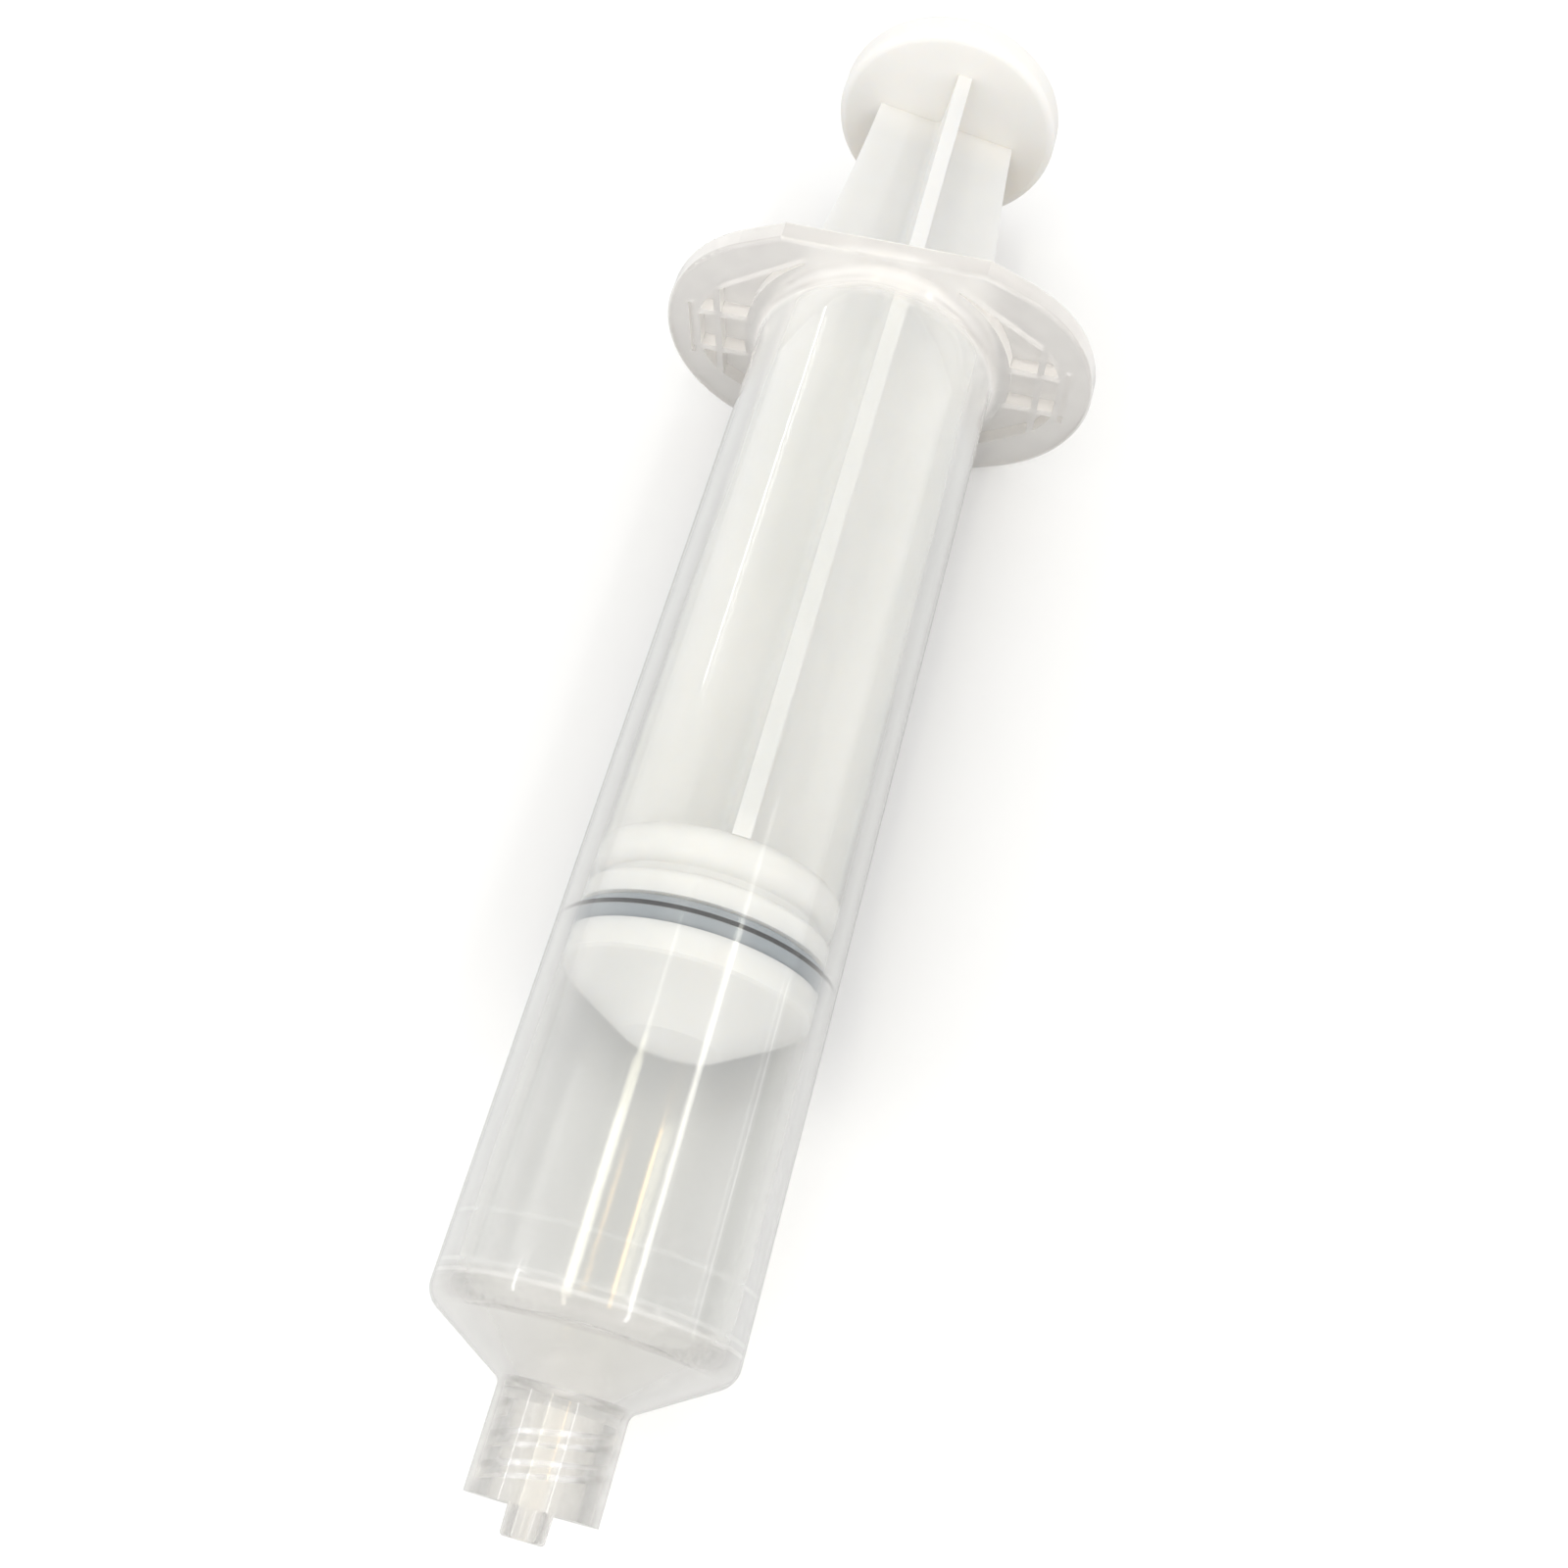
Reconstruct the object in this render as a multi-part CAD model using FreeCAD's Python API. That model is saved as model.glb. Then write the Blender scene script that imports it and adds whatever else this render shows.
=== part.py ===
import FreeCAD, Part
import math
import os

# Meat injector: a large plastic syringe with a luer-lock outlet and no needle fitted.
# It lies along Y with +Z up. The origin is the centre of the outlet's open end, the barrel
# runs back along +Y, and the finger flange's flats face up and down. Millimetres.

# ---- barrel: one clear moulding -----------------------------------------------------------
barrel_r = 14.4            # outside radius of the tube
bore_r = 13.1              # the bore that the piston and its ring run in
cone_pitch = 0.59          # rise along Y for each millimetre of radius, outside and inside
cone_outer_y = 16.7        # where the outer cone would meet the tube's outside
cone_wall = 2.0            # thickness of the cone, measured along Y
shoulder_round = 2.4       # outer corner between tube and cone
bore_corner_round = 2.6    # inner corner between bore and cone
collar_root_round = 1.0    # where the lock collar grows out of the cone

collar_r = 6.0             # outside of the lock collar
collar_mouth_y = 2.5       # the outlet stands this far out of the collar
collar_floor_y = 10.4
thread_root_r = 4.0        # inside wall of the collar
thread_crest_r = 3.55
thread_lead = 5.0          # two starts, right-handed
thread_starts = 2
thread_from_y = 3.4
thread_turns = 1.1         # of each start
thread_root_half = 0.75    # half the ridge's width at its root
thread_crest_half = 0.3
thread_bury = 0.3          # how far the ridge's root lies inside the collar's wall

outlet_end_r = 1.975       # the outlet's taper is 6 % on diameter
outlet_taper = 0.03
outlet_bore_r = 1.1
outlet_edge_round = 0.35

flange_y = 133.1           # face towards the outlet
flange_t = 2.9
flat_height = 17.0         # axis to each flat edge
flat_half = 11.8           # half the length of a flat edge
lobe_half = 26.2           # half the length of the whole flange
lobe_centre = 10.0         # centre of each rounded end
flange_join_x = 16.9       # where the slanted edge meets the rounded end
flange_edge_round = 0.5
flange_root_round = 1.6    # between tube and flange
mouth_flare = 0.8          # the bore opens by this much at its back end
mouth_length = 2.0         # over this length

hollow_depth = 1.8         # hollows on the flange's front
hollow_inner_r = 16.4
hollow_end_x = 22.0        # where a hollow ends, near the axis
hollow_bend = (21.4, 4.6)  # its edge turns here, x and z
hollow_corner = (19.9, 6.9)
hollow_far = (9.0, 14.0)   # the straight edge runs towards this point
hollow_rib_z = 3.05        # two ribs along each lobe
hollow_rib_t = 0.9
hollow_cross_x = 19.7      # one rib across each lobe
hollow_cross_t = 0.8
slot_x = 23.0              # a narrow groove near each end
slot_t = 0.6
slot_half = 4.2
slot_depth = 0.9

# ---- plunger: one moulding ------------------------------------------------------------------
plunger_roll = 12.0        # degrees that the ribs lie turned from the flange's axes at rest
piston_front_y = 49.2      # where the nose cone starts
piston_r = 12.6
nose_flat_r = 5.0          # the cone ends here and a low dome closes it
nose_cone_h = 4.5
nose_dome_h = 0.7
piston_edge = 0.3
groove_y = 52.2
groove_w = 2.8
groove_r = 10.4
land_end_y = 57.7          # back of the land behind the groove
land_round = 1.0
waist_r = 11.4
back_disc_y = 58.5
back_disc_end_y = 63.0
back_disc_round = 1.9

rib_t = 1.8
rib_half = 12.2            # half the width of the rod inside the barrel
rib_taper_y = 143.0        # from here the ribs narrow towards the thumb disc
rib_mid_y = 158.0
rib_mid_half = 10.3
rib_end_half = 9.1
rib_root_round = 0.9       # where the four ribs cross

thumb_y = 174.0
thumb_t = 4.2
thumb_r = 14.4
thumb_round = 1.0
thumb_dish_r = 11.6
thumb_dish_depth = 0.5

# ---- rubber ring ----------------------------------------------------------------------------
ring_section_r = 1.3
ring_fit = 0.05            # gap to the bore and to the groove's floor

axis = FreeCAD.Vector(0, 1, 0)
origin = FreeCAD.Vector(0, 0, 0)


def at(r, y):
    """A point of a half section: radius r from the axis, at y along it."""
    return FreeCAD.Vector(r, y, 0)


def revolve(points):
    """A solid of revolution about Y from a closed half section."""
    wire = Part.makePolygon(points + [points[0]])
    return Part.Face(wire).revolve(origin, axis, 360)


def cylinder(radius, y0, y1):
    """A round bar along Y."""
    return Part.makeCylinder(radius, y1 - y0, FreeCAD.Vector(0, y0, 0), axis)


def block(x0, x1, y0, y1, z0, z1):
    """A box between two corners."""
    return Part.makeBox(x1 - x0, y1 - y0, z1 - z0, FreeCAD.Vector(x0, y0, z0))


def ring_edges(shape, places):
    """The round edges of a shape that lie at the given (radius, y) places."""
    found = []
    for edge in shape.Edges:
        curve = edge.Curve
        if curve.TypeId != "Part::GeomCircle":
            continue
        for radius, y in places:
            if abs(curve.Radius - radius) < 0.02 and abs(curve.Center.y - y) < 0.02:
                found.append(edge)
    return found


def rounded(shape, radius, places):
    """Rounds the circular edges at the given places."""
    return shape.makeFillet(radius, ring_edges(shape, places))


def cone_y(radius, wall=0.0):
    """Y of the barrel's cone at a radius, outside, or inside with the wall added."""
    return cone_outer_y + wall - cone_pitch * (barrel_r - radius)


# ---- barrel ---------------------------------------------------------------------------------
def tube_and_cone():
    """The tube, its cone and the solid stock of the collar, with the bore not yet cut."""
    shape = revolve([
        at(0, collar_mouth_y),
        at(collar_r, collar_mouth_y),
        at(collar_r, cone_y(collar_r)),
        at(barrel_r, cone_outer_y),
        at(barrel_r, flange_y + flange_t),
        at(0, flange_y + flange_t),
    ])
    shape = rounded(shape, shoulder_round, [(barrel_r, cone_outer_y)])
    return rounded(shape, collar_root_round, [(collar_r, cone_y(collar_r))])


def chamber():
    """The space inside the barrel: bore, cone and flared mouth."""
    back = flange_y + flange_t
    shape = revolve([
        at(0, cone_y(outlet_bore_r, cone_wall)),
        at(outlet_bore_r, cone_y(outlet_bore_r, cone_wall)),
        at(bore_r, cone_y(bore_r, cone_wall)),
        at(bore_r, back - mouth_length),
        at(bore_r + mouth_flare, back),
        at(0, back),
    ])
    return rounded(shape, bore_corner_round, [(bore_r, cone_y(bore_r, cone_wall))])


def flange_outline():
    """The flange's edge: two flats, four slanted corners and two rounded ends."""
    lobe_r = lobe_half - lobe_centre
    join_z = math.sqrt(lobe_r ** 2 - (flange_join_x - lobe_centre) ** 2)

    def spot(x, z):
        return FreeCAD.Vector(x, flange_y, z)

    edges = []
    for side in (1, -1):
        start = spot(side * flange_join_x, side * join_z)
        end = spot(side * flange_join_x, -side * join_z)
        edges.append(Part.Arc(start, spot(side * lobe_half, 0), end).toShape())
        corner = spot(side * flat_half, -side * flat_height)
        next_corner = spot(-side * flat_half, -side * flat_height)
        next_start = spot(-side * flange_join_x, -side * join_z)
        edges.append(Part.makeLine(end, corner))
        edges.append(Part.makeLine(corner, next_corner))
        edges.append(Part.makeLine(next_corner, next_start))
    return Part.Wire(edges)


def flange_hollows():
    """The shallow hollows on the flange's front, with the ribs between them left out."""
    bottom = flange_y + hollow_depth
    cutters = []
    for side in (1, -1):
        upper = [hollow_far, hollow_corner, hollow_bend, (hollow_end_x, hollow_rib_z)]
        lower = [(x, -z) for x, z in reversed(upper)]
        points = [FreeCAD.Vector(side * x, flange_y, z) for x, z in upper + lower]
        face = Part.Face(Part.makePolygon(points + [points[0]]))
        hollow = face.extrude(FreeCAD.Vector(0, hollow_depth, 0))
        hollow = hollow.cut(cylinder(hollow_inner_r, flange_y, bottom))
        for z in (hollow_rib_z, -hollow_rib_z):
            hollow = hollow.cut(block(
                -lobe_half, lobe_half, flange_y, bottom,
                z - hollow_rib_t / 2, z + hollow_rib_t / 2))
        cross = side * hollow_cross_x
        hollow = hollow.cut(block(
            cross - hollow_cross_t / 2, cross + hollow_cross_t / 2,
            flange_y, bottom, -flat_height, flat_height))
        cutters.append(hollow)
        slot = side * slot_x
        cutters.append(block(
            slot - slot_t / 2, slot + slot_t / 2,
            flange_y, flange_y + slot_depth, -slot_half, slot_half))
    return cutters


def finger_flange():
    """The flange plate with softened edges and hollows on its front face."""
    plate = Part.Face(flange_outline()).extrude(FreeCAD.Vector(0, flange_t, 0))
    outer = []
    for edge in plate.Edges:
        flat = abs(edge.BoundBox.YLength) < 0.01
        if flat:
            outer.append(edge)
    plate = plate.makeFillet(flange_edge_round, outer)
    for cutter in flange_hollows():
        plate = plate.cut(cutter)
    return plate


def flange_root():
    """The sweep of plastic that blends the tube into the flange."""
    r = flange_root_round
    start = at(barrel_r, flange_y - r)
    end = at(barrel_r + r, flange_y)
    low = r * (1 - math.cos(math.pi / 4))
    middle = at(barrel_r + low, flange_y - low)
    inner_top = at(barrel_r - 0.5, flange_y)
    inner_low = at(barrel_r - 0.5, flange_y - r)
    wire = Part.Wire([
        Part.Arc(start, middle, end).toShape(),
        Part.makeLine(end, inner_top),
        Part.makeLine(inner_top, inner_low),
        Part.makeLine(inner_low, start),
    ])
    return Part.Face(wire).revolve(origin, axis, 360)


def collar_space():
    """The ring of space between the collar and the outlet."""
    outlet_root_r = outlet_end_r + outlet_taper * collar_floor_y
    return revolve([
        at(outlet_end_r + outlet_taper * collar_mouth_y, collar_mouth_y),
        at(thread_root_r, collar_mouth_y),
        at(thread_root_r, collar_floor_y),
        at(outlet_root_r, collar_floor_y),
    ])


def lock_thread():
    """The ridges inside the collar, one solid for each start."""
    height = thread_lead * thread_turns
    buried_r = thread_root_r + thread_bury
    slope = (thread_root_half - thread_crest_half) / (thread_root_r - thread_crest_r)
    buried_half = thread_root_half + slope * thread_bury
    proud_r = thread_crest_r - 0.1
    proud_half = thread_crest_half - slope * 0.1
    ridges = []
    for start in range(thread_starts):
        helix = Part.makeHelix(thread_lead, height, buried_r)
        profile = Part.makePolygon([
            FreeCAD.Vector(buried_r, 0, -buried_half),
            FreeCAD.Vector(proud_r, 0, -proud_half),
            FreeCAD.Vector(proud_r, 0, proud_half),
            FreeCAD.Vector(buried_r, 0, buried_half),
            FreeCAD.Vector(buried_r, 0, -buried_half),
        ])
        ridge = Part.Wire(helix.Edges).makePipeShell([profile], True, True)
        ridge.rotate(origin, FreeCAD.Vector(0, 0, 1), 360.0 * start / thread_starts)
        ridge.rotate(origin, FreeCAD.Vector(1, 0, 0), -90)
        ridge.translate(FreeCAD.Vector(0, thread_from_y + thread_root_half, 0))
        crest = cylinder(thread_crest_r, collar_mouth_y, collar_floor_y)
        ridges.append(ridge.cut(crest))
    return ridges


def outlet():
    """The tapered outlet that a needle's hub seats on, with its end softened."""
    shape = revolve([
        at(0, 0),
        at(outlet_end_r, 0),
        at(outlet_end_r + outlet_taper * (collar_floor_y + 1), collar_floor_y + 1),
        at(0, collar_floor_y + 1),
    ])
    return rounded(shape, outlet_edge_round, [(outlet_end_r, 0)])


def make_barrel():
    """The whole barrel as one moulding."""
    shape = tube_and_cone()
    shape = shape.fuse([finger_flange(), flange_root()])
    shape = shape.cut(chamber())
    shape = shape.cut(collar_space())
    shape = shape.fuse(outlet())
    shape = shape.cut(cylinder(outlet_bore_r, -1, cone_y(outlet_bore_r, cone_wall) + 0.1))
    shape = shape.removeSplitter()
    return shape.fuse(lock_thread())


# ---- plunger --------------------------------------------------------------------------------
def piston():
    """Nose cone, front land, ring groove, rear land, waist and back disc."""
    front = revolve([
        at(0, piston_front_y - nose_cone_h),
        at(nose_flat_r, piston_front_y - nose_cone_h),
        at(piston_r - piston_edge, piston_front_y),
        at(piston_r, piston_front_y + piston_edge),
        at(piston_r, groove_y),
        at(groove_r, groove_y),
        at(groove_r, groove_y + groove_w),
        at(piston_r, groove_y + groove_w),
        at(piston_r, land_end_y),
        at(waist_r, land_end_y),
        at(waist_r, back_disc_end_y - 1),
        at(0, back_disc_end_y - 1),
    ])
    front = rounded(front, land_round, [(piston_r, land_end_y)])
    back = cylinder(piston_r, back_disc_y, back_disc_end_y)
    back = rounded(back, back_disc_round, [
        (piston_r, back_disc_y),
        (piston_r, back_disc_end_y),
    ])
    return front.fuse([back, nose_dome()])


def nose_dome():
    """The low dome at the front of the nose cone."""
    base_y = piston_front_y - nose_cone_h
    tip = at(0, base_y - nose_dome_h)
    ball_r = (nose_flat_r ** 2 + nose_dome_h ** 2) / (2 * nose_dome_h)
    half_angle = math.asin(nose_flat_r / ball_r) / 2
    middle = at(
        ball_r * math.sin(half_angle),
        base_y - nose_dome_h + ball_r * (1 - math.cos(half_angle)))
    rim = at(nose_flat_r, base_y)
    back = at(nose_flat_r, base_y + 0.5)
    back_centre = at(0, base_y + 0.5)
    wire = Part.Wire([
        Part.Arc(tip, middle, rim).toShape(),
        Part.makeLine(rim, back),
        Part.makeLine(back, back_centre),
        Part.makeLine(back_centre, tip),
    ])
    return Part.Face(wire).revolve(origin, axis, 360)


def rib_pair():
    """Two opposite ribs as one plate in the XY plane, narrowing towards the thumb disc."""
    start_y = back_disc_end_y - 0.5
    end_y = thumb_y + 0.5

    def spot(x, y):
        return FreeCAD.Vector(x, y, -rib_t / 2)

    right_curve = Part.Arc(
        spot(rib_half, rib_taper_y),
        spot(rib_mid_half, rib_mid_y),
        spot(rib_end_half, end_y)).toShape()
    left_curve = Part.Arc(
        spot(-rib_end_half, end_y),
        spot(-rib_mid_half, rib_mid_y),
        spot(-rib_half, rib_taper_y)).toShape()
    wire = Part.Wire([
        Part.makeLine(spot(-rib_half, start_y), spot(rib_half, start_y)),
        Part.makeLine(spot(rib_half, start_y), spot(rib_half, rib_taper_y)),
        right_curve,
        Part.makeLine(spot(rib_end_half, end_y), spot(-rib_end_half, end_y)),
        left_curve,
        Part.makeLine(spot(-rib_half, rib_taper_y), spot(-rib_half, start_y)),
    ])
    return Part.Face(wire).extrude(FreeCAD.Vector(0, 0, rib_t))


def rod():
    """Four ribs in a cross, with rounded roots."""
    flat_pair = rib_pair()
    upright_pair = rib_pair()
    upright_pair.rotate(origin, axis, 90)
    shape = flat_pair.fuse(upright_pair).removeSplitter()
    roots = []
    for edge in shape.Edges:
        box = edge.BoundBox
        along = box.YLength > 50
        near = abs(abs(box.XMin) - rib_t / 2) < 0.01 and abs(abs(box.ZMin) - rib_t / 2) < 0.01
        if along and near and box.XLength < 0.01 and box.ZLength < 0.01:
            roots.append(edge)
    return shape.makeFillet(rib_root_round, roots)


def thumb_disc():
    """The disc that the thumb pushes, with a rounded rim and a shallow dish on its back."""
    back = thumb_y + thumb_t
    disc = cylinder(thumb_r, thumb_y, back)
    disc = rounded(disc, thumb_round, [(thumb_r, thumb_y), (thumb_r, back)])
    dish = revolve([
        at(0, back - thumb_dish_depth),
        at(thumb_dish_r - thumb_dish_depth, back - thumb_dish_depth),
        at(thumb_dish_r, back),
        at(0, back),
    ])
    return disc.cut(dish)


def make_plunger():
    """The plunger as one moulding, rolled to its rest position."""
    shape = piston().fuse([rod(), thumb_disc()]).removeSplitter()
    shape.rotate(origin, axis, plunger_roll)
    return shape


# ---- rubber ring ----------------------------------------------------------------------------
def make_ring():
    """The rubber sealing ring in the piston's groove."""
    centre_r = bore_r - ring_fit - ring_section_r
    centre = FreeCAD.Vector(0, groove_y + groove_w / 2, 0)
    return Part.makeTorus(centre_r, ring_section_r, centre, axis)


def save(shape, name):
    """Writes one node, and says what it measures."""
    if len(shape.Solids) != 1 or not shape.isValid():
        raise ValueError(name + " is not one valid solid")
    shape.Solids[0].exportStep("parts/" + name + ".step")
    print(name, "volume", round(shape.Volume, 1), "mm3, faces", len(shape.Faces))


os.makedirs("parts", exist_ok=True)
save(make_barrel(), "barrel")
save(make_plunger(), "plunger")
save(make_ring(), "o_ring")
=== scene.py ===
import math

import bpy
from mathutils import Matrix, Vector

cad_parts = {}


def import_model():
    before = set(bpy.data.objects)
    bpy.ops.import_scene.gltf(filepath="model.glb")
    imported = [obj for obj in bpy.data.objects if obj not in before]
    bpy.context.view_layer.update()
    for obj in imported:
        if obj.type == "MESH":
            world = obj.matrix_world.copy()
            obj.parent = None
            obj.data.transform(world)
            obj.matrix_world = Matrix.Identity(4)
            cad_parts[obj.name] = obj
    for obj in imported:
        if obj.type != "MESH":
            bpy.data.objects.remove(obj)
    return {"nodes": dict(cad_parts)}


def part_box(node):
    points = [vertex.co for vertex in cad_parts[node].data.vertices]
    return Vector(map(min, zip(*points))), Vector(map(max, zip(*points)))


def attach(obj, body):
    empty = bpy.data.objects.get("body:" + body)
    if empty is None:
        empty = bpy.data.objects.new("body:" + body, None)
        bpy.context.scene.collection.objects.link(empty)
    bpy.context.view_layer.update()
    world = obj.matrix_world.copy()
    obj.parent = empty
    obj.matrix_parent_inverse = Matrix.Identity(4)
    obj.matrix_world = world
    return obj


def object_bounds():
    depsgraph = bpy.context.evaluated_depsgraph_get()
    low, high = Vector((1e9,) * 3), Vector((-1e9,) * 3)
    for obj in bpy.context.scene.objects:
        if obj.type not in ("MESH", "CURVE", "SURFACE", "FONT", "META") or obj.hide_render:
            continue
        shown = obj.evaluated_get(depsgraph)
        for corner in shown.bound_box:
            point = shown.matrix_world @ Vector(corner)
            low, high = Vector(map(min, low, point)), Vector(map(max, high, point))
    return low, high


# Metres. Y runs back along the barrel from the outlet's open end, X along the flange's wings, Z up.

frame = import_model()
cad_low, cad_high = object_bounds()
nodes = frame["nodes"]

outlet_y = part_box("barrel")[0].y
flange_back_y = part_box("barrel")[1].y
thumb_back_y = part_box("plunger")[1].y
ring_low, ring_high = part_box("o_ring")
ring_y = (ring_low.y + ring_high.y) / 2
ring_r = (ring_high.x - ring_low.x) / 2

camera_place = (0.022967, 0.00023, 0.150412)
camera_tilt, camera_lean, camera_turn = 27.188, 0.057, 14.442   # degrees about X, Y, Z
camera_lens, camera_sensor = 37.125, 36.0                       # millimetres

plastic_ior = 1.49
lamp_share = (0.925, 0.925, 0.925)         # of a lamp's light, let through at each surface it crosses
shoulder_lines = ((0.0186, 0.16), (0.0195, 0.08), (0.0238, 0.05))   # y from the outlet, milkiness
ring_dark, ring_pale = (0.22, 0.265, 0.31), (0.275, 0.32, 0.365)
crest_dark, crest_pale = (0.003, 0.004, 0.006), (0.008, 0.01, 0.014)
floor_half = 3.0
floor_direct = (0.95, 0.95, 0.95)          # as the camera sees it
floor_mirrored = (0.62, 0.62, 0.62)        # as the part mirrors it
floor_through = (0.49, 0.49, 0.49)         # through the plastic, and for bounced light
lamp_distance = 0.5                        # from the barrel's axis
light_bounces = 24


# ---- shader helpers --------------------------------------------------------------------------
def node(tree, kind, **values):
    """A shader node with the given properties."""
    made = tree.nodes.new(kind)
    for key, value in values.items():
        setattr(made, key, value)
    return made


def feed(tree, socket, value):
    """Gives a socket a number, a colour or another socket's value."""
    if isinstance(value, bpy.types.NodeSocket):
        tree.links.new(value, socket)
    elif isinstance(value, tuple):
        socket.default_value = (*value, 1.0)
    else:
        socket.default_value = value


def math_node(tree, operation, a, b=0.0):
    """A Math node: each side is a number or a socket."""
    made = node(tree, "ShaderNodeMath", operation=operation)
    feed(tree, made.inputs[0], a)
    feed(tree, made.inputs[1], b)
    return made.outputs[0]


def product(tree, a, b):
    """a times b."""
    return math_node(tree, "MULTIPLY", a, b)


def total(tree, a, b):
    """a plus b."""
    return math_node(tree, "ADD", a, b)


def ramp(tree, value, span, to):
    """Maps a value smoothly from one span to another, held at both ends."""
    made = node(tree, "ShaderNodeMapRange", interpolation_type="SMOOTHSTEP")
    feed(tree, made.inputs["Value"], value)
    made.inputs["From Min"].default_value, made.inputs["From Max"].default_value = span
    made.inputs["To Min"].default_value, made.inputs["To Max"].default_value = to
    return made.outputs["Result"]


def blend_colour(tree, amount, first, second, mode="MIX"):
    """Mixes two colours, or sockets, by a socket's value."""
    made = node(tree, "ShaderNodeMix", data_type="RGBA", blend_type=mode)
    feed(tree, made.inputs["Factor"], amount)
    feed(tree, made.inputs["A"], first)
    feed(tree, made.inputs["B"], second)
    return made.outputs["Result"]


def distance_from(tree, value, place):
    """How far a value is from a place, either way."""
    return math_node(tree, "ABSOLUTE", math_node(tree, "SUBTRACT", value, place))


def radius_of(tree, split):
    """Distance from the barrel's axis."""
    xx = product(tree, split.outputs["X"], split.outputs["X"])
    zz = product(tree, split.outputs["Z"], split.outputs["Z"])
    return math_node(tree, "SQRT", total(tree, xx, zz))


def noise(tree, coords, scale, detail=3.0, stretch=(1, 1, 1)):
    """Noise from 0 to 1 over the surface, finer with more detail, stretched along the axes."""
    mapping = node(tree, "ShaderNodeMapping")
    mapping.inputs["Scale"].default_value = stretch
    tree.links.new(coords, mapping.inputs["Vector"])
    made = node(tree, "ShaderNodeTexNoise")
    made.inputs["Scale"].default_value = scale
    made.inputs["Detail"].default_value = detail
    tree.links.new(mapping.outputs["Vector"], made.inputs["Vector"])
    return made.outputs["Fac"]


def bump(tree, shader, height, distance):
    """Raises the surface by the height socket, up to a distance."""
    made = node(tree, "ShaderNodeBump")
    made.inputs["Distance"].default_value = distance
    tree.links.new(height, made.inputs["Height"])
    tree.links.new(made.outputs["Normal"], shader.inputs["Normal"])


def start(name):
    """A new material, its tree, its shader and the object's own coordinates, whole and split."""
    mat = bpy.data.materials.new(name)
    mat.use_nodes = True
    tree = mat.node_tree
    shader = tree.nodes["Principled BSDF"]
    coords = node(tree, "ShaderNodeTexCoord")
    split = node(tree, "ShaderNodeSeparateXYZ")
    tree.links.new(coords.outputs["Object"], split.inputs[0])
    return mat, tree, shader, coords.outputs["Object"], split


# ---- materials -------------------------------------------------------------------------------
def lamps_pass(tree, shader):
    """Lets most of the lamps' light through, so that what is inside the clear part is lit."""
    path = node(tree, "ShaderNodeLightPath")
    clear = node(tree, "ShaderNodeBsdfTransparent")
    feed(tree, clear.inputs["Color"], lamp_share)
    mix = node(tree, "ShaderNodeMixShader")
    tree.links.new(path.outputs["Is Shadow Ray"], mix.inputs["Fac"])
    tree.links.new(shader.outputs[0], mix.inputs[1])
    tree.links.new(clear.outputs[0], mix.inputs[2])
    tree.links.new(mix.outputs[0], tree.nodes["Material Output"].inputs["Surface"])


def clear_plastic():
    """Clear polypropylene: faintly cloudy, milkier edge-on, in the flange and in thin shoulder lines."""
    mat, tree, shader, coords, split = start("clear_plastic")
    along = split.outputs["Y"]
    cloud = noise(tree, coords, 160.0, 1.0, (1, 0.25, 1))
    flange = ramp(tree, along, (flange_back_y - 0.006, flange_back_y - 0.0035), (0.0, 1.0))
    nozzle = ramp(tree, along, (outlet_y + 0.0205, outlet_y + 0.0165), (0.0, 1.0))
    facing = node(tree, "ShaderNodeLayerWeight").outputs["Facing"]
    edge_on = ramp(tree, facing, (0.28, 0.95), (0.0, 0.74))
    milk = total(tree, edge_on, ramp(tree, cloud, (0.3, 0.7), (0.03, 0.08)))
    milk = total(tree, milk, product(tree, flange, 0.30))
    milk = total(tree, milk, product(tree, nozzle, 0.02))
    for place, amount in shoulder_lines:
        off = distance_from(tree, along, outlet_y + place)
        milk = total(tree, milk, ramp(tree, off, (0.0001, 0.00025), (amount, 0.0)))
    feed(tree, shader.inputs["Transmission Weight"], math_node(tree, "SUBTRACT", 1.0, milk))
    tone = total(tree, product(tree, nozzle, 0.8), ramp(tree, cloud, (0.3, 0.7), (0.0, 0.2)))
    colour = blend_colour(tree, tone, (0.952, 0.955, 0.946), (0.925, 0.912, 0.889))
    colour = blend_colour(tree, flange, colour, (0.965, 0.945, 0.922))
    feed(tree, shader.inputs["Base Color"], colour)
    satin = product(tree, total(tree, flange, nozzle), 0.12)
    satin = total(tree, satin, ramp(tree, cloud, (0.3, 0.7), (0.08, 0.12)))
    feed(tree, shader.inputs["Roughness"], satin)
    shader.inputs["IOR"].default_value = plastic_ior
    shader.inputs["Coat Weight"].default_value = 1.0
    shader.inputs["Coat Roughness"].default_value = 0.015
    shader.inputs["Coat IOR"].default_value = 1.4
    bump(tree, shader, cloud, 0.00001)
    lamps_pass(tree, shader)
    return mat


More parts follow.
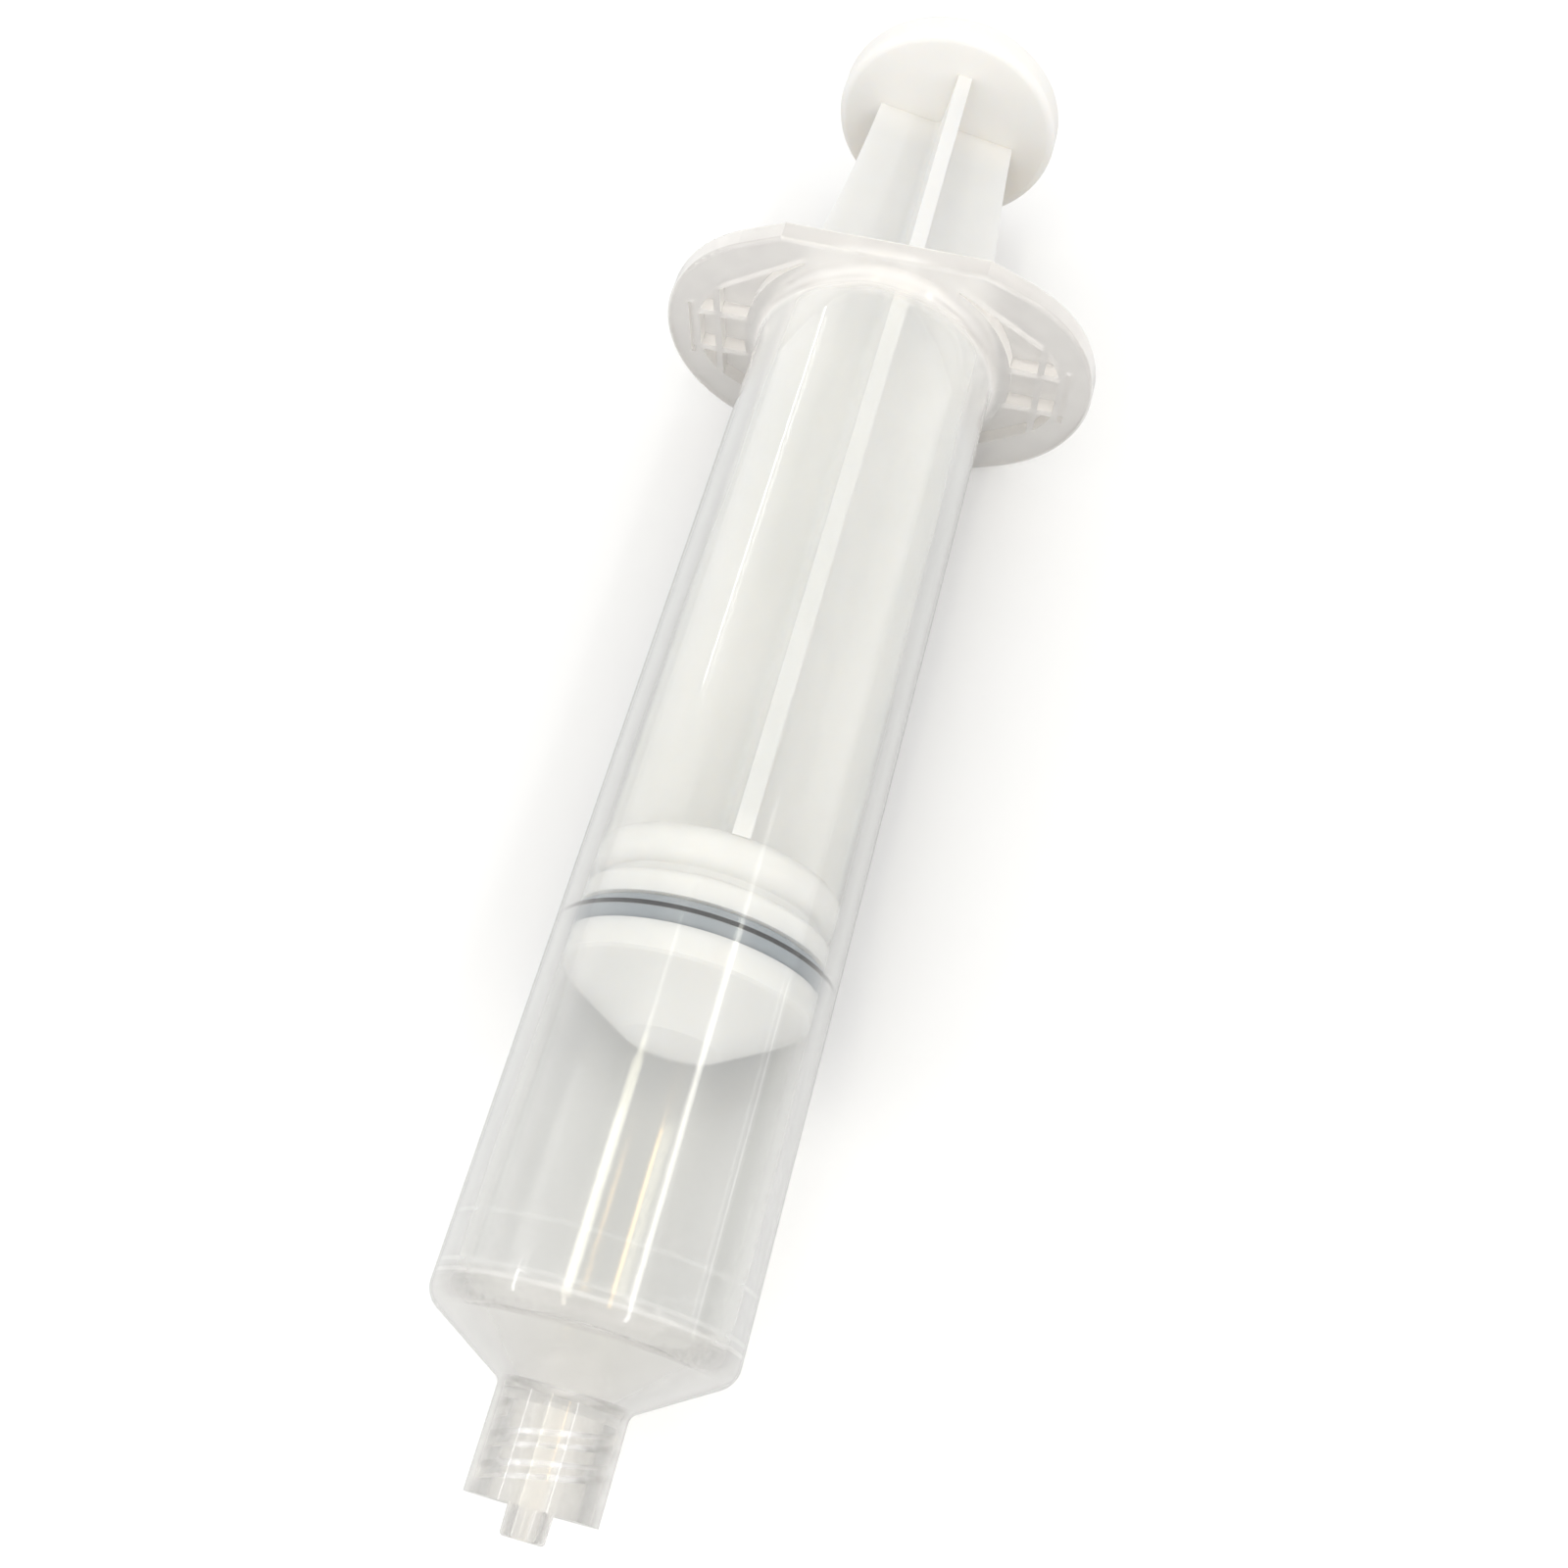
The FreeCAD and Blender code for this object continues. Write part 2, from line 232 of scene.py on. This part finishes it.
def milky_plastic():
    """Milky natural polypropylene: soft white, faintly cloudy; the thumb disc paler (its own cream plus
    painted light) with a painted warm glow low down, and painted shade on the rib edges inside the barrel.
    """
    mat, tree, shader, coords, split = start("milky_plastic")
    along = split.outputs["Y"]
    cloud = noise(tree, coords, 220.0)
    disc = ramp(tree, along, (thumb_back_y - 0.0102, thumb_back_y - 0.0032), (0.0, 1.0))
    low = ramp(tree, split.outputs["Z"], (0.004, -0.012), (0.0, 1.0))
    # Painted shade: the rod's rib edges inside the barrel, past the piston, are darkened to tone down the
    # light that falls on them
    rib_edge = ramp(tree, radius_of(tree, split), (0.0085, 0.012), (0.0, 1.0))
    past_piston = ramp(tree, along, (ring_y + 0.0094, ring_y + 0.0124), (0.0, 1.0))
    in_barrel = ramp(tree, along, (flange_back_y - 0.016, flange_back_y - 0.001), (1.0, 0.0))
    rib_painted_shade = product(tree, product(tree, rib_edge, past_piston), in_barrel)
    colour = blend_colour(tree, cloud, (0.735, 0.735, 0.724), (0.775, 0.775, 0.764))
    # Painted light: a warm glow on the thumb disc's lower side, standing in for light shining through the
    # translucent plastic
    colour = blend_colour(tree, product(tree, disc, low), colour, (0.90, 0.81, 0.68))
    colour = blend_colour(tree, rib_painted_shade, colour, (0.90, 0.91, 0.92), "MULTIPLY")
    # Partly the disc's own more opaque cream and partly painted light: the whole thumb disc is paled to lift
    # the shade it gets from the rod and flange
    colour = blend_colour(tree, product(tree, disc, 0.65), colour, (0.90, 0.885, 0.855))
    feed(tree, shader.inputs["Base Color"], colour)
    feed(tree, shader.inputs["Roughness"], ramp(tree, cloud, (0.3, 0.7), (0.45, 0.55)))
    shader.inputs["IOR"].default_value = plastic_ior
    shader.inputs["Subsurface Weight"].default_value = 0.6
    shader.inputs["Subsurface Radius"].default_value = (1.0, 0.9, 0.75)
    shader.inputs["Subsurface Scale"].default_value = 0.003
    bump(tree, shader, cloud, 0.00002)
    return mat


def rubber(name, dark, pale):
    """Satin rubber with a fine grain, between two tones."""
    mat, tree, shader, coords, _ = start(name)
    grain = noise(tree, coords, 1500.0)
    feed(tree, shader.inputs["Base Color"], blend_colour(tree, grain, dark, pale))
    feed(tree, shader.inputs["Roughness"], ramp(tree, grain, (0.3, 0.7), (0.55, 0.7)))
    shader.inputs["Specular IOR Level"].default_value = 0.15
    bump(tree, shader, grain, 0.00001)
    return mat


def put(name, mat):
    """Gives a carried-over CAD node its material."""
    obj = nodes[name]
    obj.data.materials.clear()
    obj.data.materials.append(mat)
    for poly in obj.data.polygons:
        poly.material_index = 0


# ---- the ring's crest ------------------------------------------------------------------------
def contact_band(mat):
    """The rubber ring's flattened crest: a thin dark band pressed on the bore, seen through the wall."""
    half_width, half_depth = 0.00024, 0.0001
    turns, sides = 192, 12
    points = []
    faces = []
    for turn in range(turns):
        round_axis = math.tau * turn / turns
        here, there = turn * sides, (turn + 1) % turns * sides
        for side in range(sides):
            round_section = math.tau * side / sides
            r = ring_r + half_depth * math.cos(round_section)
            y = ring_y + half_width * math.sin(round_section)
            points.append((r * math.cos(round_axis), y, r * math.sin(round_axis)))
            after = (side + 1) % sides
            faces.append((here + side, here + after, there + after, there + side))
    mesh = bpy.data.meshes.new("ring_contact_band")
    mesh.from_pydata(points, [], faces)
    mesh.materials.append(mat)
    for poly in mesh.polygons:
        poly.use_smooth = True
    band = bpy.data.objects.new("ring_contact_band", mesh)
    bpy.context.scene.collection.objects.link(band)
    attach(band, "seal")


# ---- camera, floor and light -----------------------------------------------------------------
def camera():
    """A slightly wide lens above the outlet, looking down along the barrel."""
    data = bpy.data.cameras.new("camera")
    data.sensor_width = camera_sensor
    data.lens = camera_lens
    data.clip_start = 0.01
    data.clip_end = 20.0
    cam = bpy.data.objects.new("camera", data)
    bpy.context.scene.collection.objects.link(cam)
    cam.location = camera_place
    cam.rotation_euler = [math.radians(angle) for angle in (camera_tilt, camera_lean, camera_turn)]
    bpy.context.scene.camera = cam


def stage():
    """A plain pale floor under the part, darker where the part mirrors it or lets it show through."""
    z = cad_low.z
    corners = [(x * floor_half, y * floor_half, z) for x, y in ((-1, -1), (1, -1), (1, 1), (-1, 1))]
    mesh = bpy.data.meshes.new("floor")
    mesh.from_pydata(corners, [], [(0, 1, 2, 3)])
    floor = bpy.data.objects.new("floor", mesh)
    bpy.context.scene.collection.objects.link(floor)
    mat = bpy.data.materials.new("floor")
    mat.use_nodes = True
    tree = mat.node_tree
    shader = tree.nodes["Principled BSDF"]
    path = node(tree, "ShaderNodeLightPath")
    mirrored = math_node(tree, "SUBTRACT", path.outputs["Is Reflection Ray"], path.outputs["Is Diffuse Ray"])
    colour = blend_colour(tree, mirrored, floor_through, floor_mirrored)
    colour = blend_colour(tree, path.outputs["Is Camera Ray"], colour, floor_direct)
    feed(tree, shader.inputs["Base Color"], colour)
    shader.inputs["Roughness"].default_value = 0.9
    shader.inputs["Specular IOR Level"].default_value = 0.1
    mesh.materials.append(mat)


def world():
    """Soft white light from all round, brighter low down and on the outlet's side."""
    made = bpy.data.worlds.new("world")
    bpy.context.scene.world = made
    made.use_nodes = True
    tree = made.node_tree
    sky = tree.nodes["Background"]
    coords = node(tree, "ShaderNodeTexCoord")
    split = node(tree, "ShaderNodeSeparateXYZ")
    tree.links.new(coords.outputs["Generated"], split.inputs[0])
    sky.inputs["Color"].default_value = (1.0, 1.0, 1.0, 1.0)
    height = ramp(tree, split.outputs["Z"], (0.0, 0.9), (1.13, 0.88))
    front = ramp(tree, split.outputs["Y"], (0.2, -0.8), (0.0, 0.38))
    feed(tree, sky.inputs["Strength"], total(tree, height, front))


def lamp(name, angle, span, width, radiance, colour=(1, 1, 1)):
    """A strip lamp along the barrel: its angle from straight up about the axis, its span along Y,
    its width across, its brightness and its colour."""
    length = span[1] - span[0]
    data = bpy.data.lights.new(name, "AREA")
    data.shape = "RECTANGLE"
    data.size, data.size_y = width, length
    data.energy = radiance * math.pi * width * length
    data.color = colour
    obj = bpy.data.objects.new(name, data)
    bpy.context.scene.collection.objects.link(obj)
    turn = math.radians(angle)
    out = Vector((math.sin(turn), 0.0, math.cos(turn)))
    along = Vector((0.0, 1.0, 0.0))
    across = along.cross(out)
    place = out * lamp_distance + along * (span[0] + span[1]) / 2
    obj.matrix_world = Matrix.Translation(place) @ Matrix((across, along, out)).transposed().to_4x4()


def lamps():
    """Each strip draws one streak on the clear barrel, or the next stretch of one."""
    left, centre = -11.0, 34.5
    lamp("lamp_left", left, (0.08, 0.175), 0.064, 3.2, (1.0, 0.98, 0.78))
    lamp("lamp_left_tip", left, (0.175, 0.185), 0.03, 3.0, (1.0, 0.98, 0.81))
    lamp("lamp_left_high", left, (0.185, 0.237), 0.02, 1.0)
    lamp("lamp_left_collar", left, (-0.22, 0.08), 0.025, 4.5, (1.0, 0.96, 0.80))
    lamp("lamp_centre", centre, (0.085, 0.243), 0.032, 4.5, (1.0, 0.99, 0.90))
    lamp("lamp_centre_high", centre, (0.243, 0.30), 0.02, 1.2)
    lamp("lamp_centre_collar", centre, (-0.22, 0.085), 0.025, 7.0)
    lamp("lamp_upper", -53.0, (0.345, 0.595), 0.007, 10.0)
    lamp("lamp_collar", -48.5, (-0.146, 0.086), 0.02, 8.0)
    lamp("lamp_amber", 20.0, (0.02, 0.15), 0.022, 5.0, (1.0, 0.70, 0.30))
    lamp("lamp_right", 86.0, (0.075, 0.225), 0.015, 1.6)


camera()
stage()
world()
lamps()
put("barrel", clear_plastic())
put("plunger", milky_plastic())
put("o_ring", rubber("rubber_ring", ring_dark, ring_pale))
contact_band(rubber("rubber_crest", crest_dark, crest_pale))

scene = bpy.context.scene
scene.view_settings.view_transform = "Standard"
scene.cycles.max_bounces = light_bounces
scene.cycles.transmission_bounces = light_bounces
